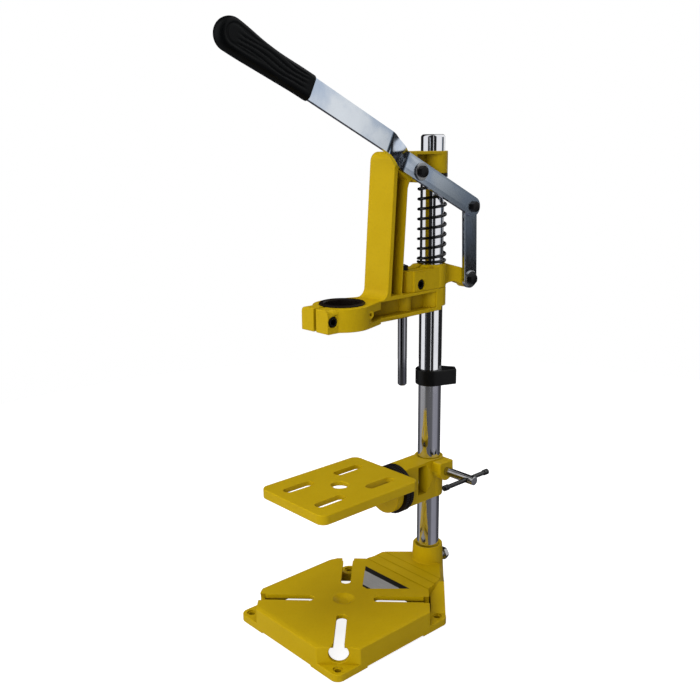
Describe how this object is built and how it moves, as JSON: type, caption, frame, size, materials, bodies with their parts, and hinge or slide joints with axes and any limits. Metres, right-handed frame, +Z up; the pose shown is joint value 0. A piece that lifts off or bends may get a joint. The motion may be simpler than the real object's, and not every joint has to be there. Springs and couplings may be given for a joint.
{
  "type": "drill stand",
  "caption": "Bench drill stand: slotted base, column, tilting table, and a sprung carriage with a clamp ring that a lever and link feed down.",
  "frame": {"origin": "on the bench, on the column's axis", "axes": "+Z up along the column, -Y to the front over the base, +X to the side that carries the lever and link"},
  "size_m": [0.1584, 0.3414, 0.5949],
  "materials": {
    "painted": "gloss",
    "chrome": "polished",
    "zinc": "satin",
    "foil": "satin",
    "black_plastic": "satin",
    "black_steel": "satin",
    "grip": "matt"
  },
  "bodies": {
    "base": {"base_plate": "painted", "column": "chrome", "column_bolt": "zinc", "label_plate": "foil"},
    "bracket": {"table_bracket": "painted", "scale_disc": "black_plastic", "table_pivot_bolt": "zinc", "table_pivot_washer": "zinc", "table_pivot_nut": "zinc"},
    "table": {"table_plate": "painted"},
    "clamp_screw": {"table_clamp_screw": "zinc"},
    "tommy": {"tommy_bar": "zinc"},
    "stop": {"stop_collar": "black_steel", "stop_screw": "black_steel"},
    "head": {"head_collar": "painted", "head_clamp_screw": "black_steel", "head_clamp_nut": "zinc", "guide_rod": "chrome", "guide_rod_nut": "black_steel", "link_low_bolt": "black_steel", "link_low_washer": "zinc", "link_low_nut": "zinc", "feed_spring": "black_steel"},
    "slider": {"carriage": "painted", "spring_seat": "black_plastic", "reducer_bush": "black_plastic", "ring_clamp_screw": "black_steel", "ring_clamp_nut": "zinc", "lever_pivot_bolt": "black_steel", "lever_pivot_washer": "zinc", "lever_pivot_nut": "zinc"},
    "lever": {"lever_bar": "zinc", "lever_grip": "grip", "link_top_bolt": "black_steel", "link_top_washer": "zinc", "link_top_nut": "zinc"},
    "link": {"link_bar": "zinc"}
  },
  "joints": [
    {"name": "table_height", "type": "slide", "parent": "base", "child": "bracket", "axis": [0, 0, 1], "range_m": [-0.058, 0.03]},
    {"name": "table_tilt", "type": "hinge", "parent": "bracket", "child": "table", "pos_m": [0, -0.0676, 0.1308], "axis": [0, 1, 0], "range_deg": [-45, 45]},
    {"name": "clamp_screw_turn", "type": "hinge", "parent": "bracket", "child": "clamp_screw", "pos_m": [0.04, 0, 0.1431], "axis": [1, 0, 0], "range_deg": [-180, 180]},
    {"name": "tommy_slide", "type": "slide", "parent": "clamp_screw", "child": "tommy", "axis": [0, 1, 0], "range_m": [-0.019, 0.026]},
    {"name": "stop_height", "type": "slide", "parent": "base", "child": "stop", "axis": [0, 0, 1], "range_m": [-0.04, 0.006]},
    {"name": "head_swivel", "type": "hinge", "parent": "base", "child": "head", "pos_m": [0, 0, 0.36], "axis": [0, 0, 1], "range_deg": [-90, 90]},
    {"name": "carriage_feed", "type": "slide", "parent": "head", "child": "slider", "axis": [0, 0, 1], "range_m": [-0.06, 0], "stiffness_N_per_m": 800, "springref_m": 0.035, "deforming": ["feed_spring"]},
    {"name": "lever_swing", "type": "hinge", "parent": "slider", "child": "lever", "pos_m": [0, -0.041, 0.4691], "axis": [1, 0, 0], "range_deg": [0, 38.34]},
    {"name": "link_swing", "type": "hinge", "parent": "head", "child": "link", "pos_m": [0, 0.0435, 0.352], "axis": [1, 0, 0], "range_deg": [-7.38, 0]}
  ],
  "couplings": [
    {"joint": "lever_swing", "follows": "carriage_feed", "rad_per_m": -11.15},
    {"joint": "link_swing", "follows": "carriage_feed", "rad_per_m": 2.145}
  ]
}
